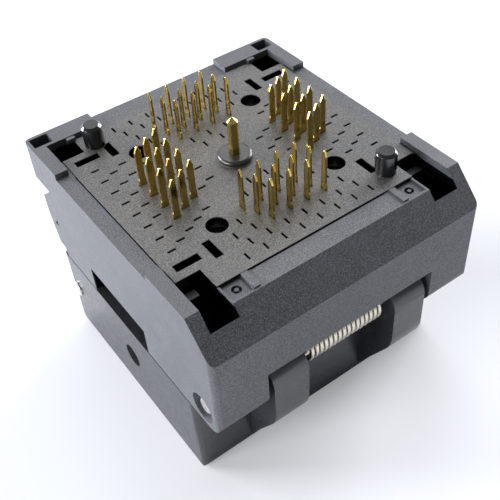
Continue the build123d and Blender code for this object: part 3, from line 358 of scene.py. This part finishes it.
def plated_metal(name, colour, shade, roughness, spread, line_mm, stretch):
    """Metal whose colour and roughness vary along fine lines in Z."""
    material, tree = new_material(name)
    place = add_node(tree, "ShaderNodeTexCoord").outputs["Object"]
    lines = add_node(tree, "ShaderNodeMapping", {"Vector": place, "Scale": (1, 1, stretch)})
    noise = add_node(
        tree, "ShaderNodeTexNoise", {"Vector": lines.outputs[0], "Scale": per_cell(line_mm), "Detail": 3.0}
    )
    tint = add_node(
        tree, "ShaderNodeMix", {0: noise.outputs[0], 6: linear(shade), 7: linear(colour)}, data_type="RGBA"
    )
    rough = noise_to_range(tree, noise, roughness, spread)
    shader = add_node(
        tree,
        "ShaderNodeBsdfPrincipled",
        {"Base Color": tint.outputs[2], "Metallic": 1.0, "Roughness": rough.outputs[0]},
    )
    show(tree, shader)
    return material


gold = plated_metal("gold_plated_copper_alloy", "#d8bd70", "#bfa457", 0.17, 0.04, STAMP_LINE_MM, STAMP_STRETCH)
steel = plated_metal("ground_steel_pin", "#d9d9d6", "#bfbfbb", 0.28, 0.06, 0.12, 1.0)
wire = plated_metal("drawn_spring_wire", "#cfcabd", "#a9a395", 0.30, 0.06, 0.10, 1.0)
print("metal finishes: 3")

# %% [markdown]
# Each CAD node keeps its shape and gets its finish here. A moulded edge is never razor sharp: a bevel of a
# few hundredths of a millimetre catches the light along every edge, as on the real block. It is a modifier,
# so the CAD mesh underneath stays as it is. The mesh comes with doubled points along its edges, so a weld
# goes first, or the bevel would find no edges to round.

# %% Finish the CAD nodes
WELD_MM = 0.0005
EDGE_ROUND_MM = {
    "base_housing": 0.07,
    "contact_plate": 0.025,
    "lid_frame": 0.08,
    "latch_lever": 0.10,
    "pressure_pad": 0.05,
    "nest": 0.04,
    "contact_block": 0.03,
    "contacts_right_side": 0.045,
    "contacts_latch_side": 0.045,
    "contacts_left_side": 0.045,
    "contacts_hinge_side": 0.045,
}
EDGE_ANGLE = 35
EDGE_STEPS = 2
FINISHES = {
    "base_housing": housing_pps,
    "contact_plate": plate_pps,
    "lid_frame": lever_pps,
    "latch_lever": lever_pps,
    "pressure_pad": inner_pps,
    "nest": inner_pps,
    "contact_block": inner_pps,
    "contacts_right_side": gold,
    "contacts_latch_side": gold,
    "contacts_left_side": gold,
    "contacts_hinge_side": gold,
    "probe_barrel": gold,
    "probe_plunger": gold,
    "probe_spring": wire,
    "hinge_pin": steel,
    "hinge_spring": wire,
    "nest_pins": steel,
    "nest_springs": wire,
    "pad_pin": steel,
    "pad_springs": wire,
    "latch_pin": steel,
    "latch_springs": wire,
}

for name, material in FINISHES.items():
    mesh = nodes[name].data
    for place in range(len(mesh.materials)):
        mesh.materials[place] = material
for name, width in EDGE_ROUND_MM.items():
    weld = nodes[name].modifiers.new("weld", "WELD")
    weld.merge_threshold = WELD_MM * MM
    bevel = nodes[name].modifiers.new("edge_round", "BEVEL")
    bevel.width = width * MM
    bevel.segments = EDGE_STEPS
    bevel.limit_method = "ANGLE"
    bevel.angle_limit = radians(EDGE_ANGLE)
    smooth = nodes[name].modifiers.new("flat_faces", "WEIGHTED_NORMAL")
    smooth.keep_sharp = True
print("nodes finished:", len(FINISHES), "of", len(nodes))

# %% [markdown]
# The four kinds of pressed springs shorten when their piece moves: the nest's, the pad's, the latch's and the
# one in the ground probe. A stiff coil would stick out through the piece that presses it. So each gets a copy
# in place of the CAD node, and the two ends along its axis are found, the fixed one first. The body that it
# stands on and the piece that it pushes are listed too, but nothing here moves the ends or closes up the
# coils.
# The hinge spring only winds up a little and stays as it is.

# %% Copies of the springs that shorten
PRESSED_SPRINGS = {
    "nest_springs": ("base", "nest", "Z", "high"),
    "pad_springs": ("lid", "pad", "Z", "low"),
    "latch_springs": ("lid", "latch", "Y", "low"),
    "probe_spring": ("base", "probe_tip", "Z", "high"),
}

for name, (standing, pushed, along, fixed_end) in PRESSED_SPRINGS.items():
    low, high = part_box(name)
    middle = (Vector(low) + Vector(high)) / 2
    place = "XYZ".index(along)
    ends = []
    for value in (low[place], high[place]):
        end = middle.copy()
        end[place] = value
        ends.append(end)
    if fixed_end == "high":
        ends.reverse()
    coil = bpy.data.objects.new(name + "_flexing", nodes[name].data.copy())
    bpy.context.scene.collection.objects.link(coil)
    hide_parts(name)
    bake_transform(coil)
    print(coil.name, "free length in mm:", round((ends[1] - ends[0]).length / MM, 2))
